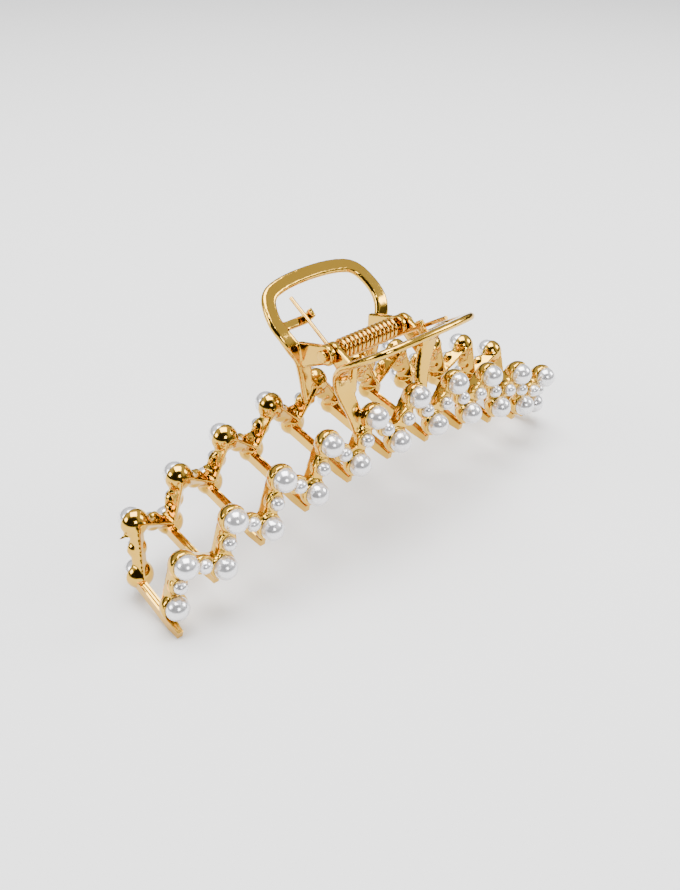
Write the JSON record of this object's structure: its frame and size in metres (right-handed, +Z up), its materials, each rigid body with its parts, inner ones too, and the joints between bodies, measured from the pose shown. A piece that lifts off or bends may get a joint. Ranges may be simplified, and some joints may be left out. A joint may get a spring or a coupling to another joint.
{
  "type": "hair claw clip",
  "caption": "Spring-hinged metal hair claw: two arched zigzag comb jaws with pearl-set cups, interlocking teeth and looped squeeze handles.",
  "frame": {"origin": "bottom centre of the bounding box, on the surface that the comb's ends stand on, under the middle of the hinge pin", "axes": "+X along the hinge pin and the comb, +Y towards the far jaw, +Z up through the hinge"},
  "size_m": [0.1202, 0.041, 0.0518],
  "materials": {
    "gold_plate": "polished pale gold plate over a zinc die casting",
    "spring_wire": "gold-plated spring steel wire",
    "pearl": "imitation pearl, white lacquer with a soft nacre sheen"
  },
  "bodies": {
    "far_jaw": {"far_jaw_casting": "gold_plate", "far_upper_pearl_1": "pearl", "far_upper_pearl_2": "pearl", "far_upper_pearl_3": "pearl", "far_upper_pearl_4": "pearl", "far_upper_pearl_5": "pearl", "far_upper_pearl_6": "pearl", "far_upper_pearl_7": "pearl", "far_upper_pearl_8": "pearl", "far_upper_pearl_9": "pearl", "far_upper_pearl_10": "pearl", "far_lower_pearl_1": "pearl", "far_lower_pearl_2": "pearl", "far_lower_pearl_3": "pearl", "far_lower_pearl_4": "pearl", "far_lower_pearl_5": "pearl", "far_lower_pearl_6": "pearl", "far_lower_pearl_7": "pearl", "far_lower_pearl_8": "pearl", "far_lower_pearl_9": "pearl", "far_lower_pearl_10": "pearl", "far_lower_pearl_11": "pearl", "hinge_pin": "gold_plate", "torsion_spring": "spring_wire"},
    "near_jaw": {"near_jaw_casting": "gold_plate", "near_upper_pearl_1": "pearl", "near_upper_pearl_2": "pearl", "near_upper_pearl_3": "pearl", "near_upper_pearl_4": "pearl", "near_upper_pearl_5": "pearl", "near_upper_pearl_6": "pearl", "near_upper_pearl_7": "pearl", "near_upper_pearl_8": "pearl", "near_upper_pearl_9": "pearl", "near_upper_pearl_10": "pearl", "near_lower_pearl_1": "pearl", "near_lower_pearl_2": "pearl", "near_lower_pearl_3": "pearl", "near_lower_pearl_4": "pearl", "near_lower_pearl_5": "pearl", "near_lower_pearl_6": "pearl", "near_lower_pearl_7": "pearl", "near_lower_pearl_8": "pearl", "near_lower_pearl_9": "pearl", "near_lower_pearl_10": "pearl", "near_lower_pearl_11": "pearl"}
  },
  "joints": [
    {"name": "jaw_hinge", "type": "hinge", "parent": "far_jaw", "child": "near_jaw", "pos_m": [0, 0, 0.04155], "axis": [-1, 0, 0], "range_deg": [0, 120], "stiffness_Nm_per_rad": 0.05, "springref_deg": -34.38, "deforming": ["torsion_spring"]}
  ]
}
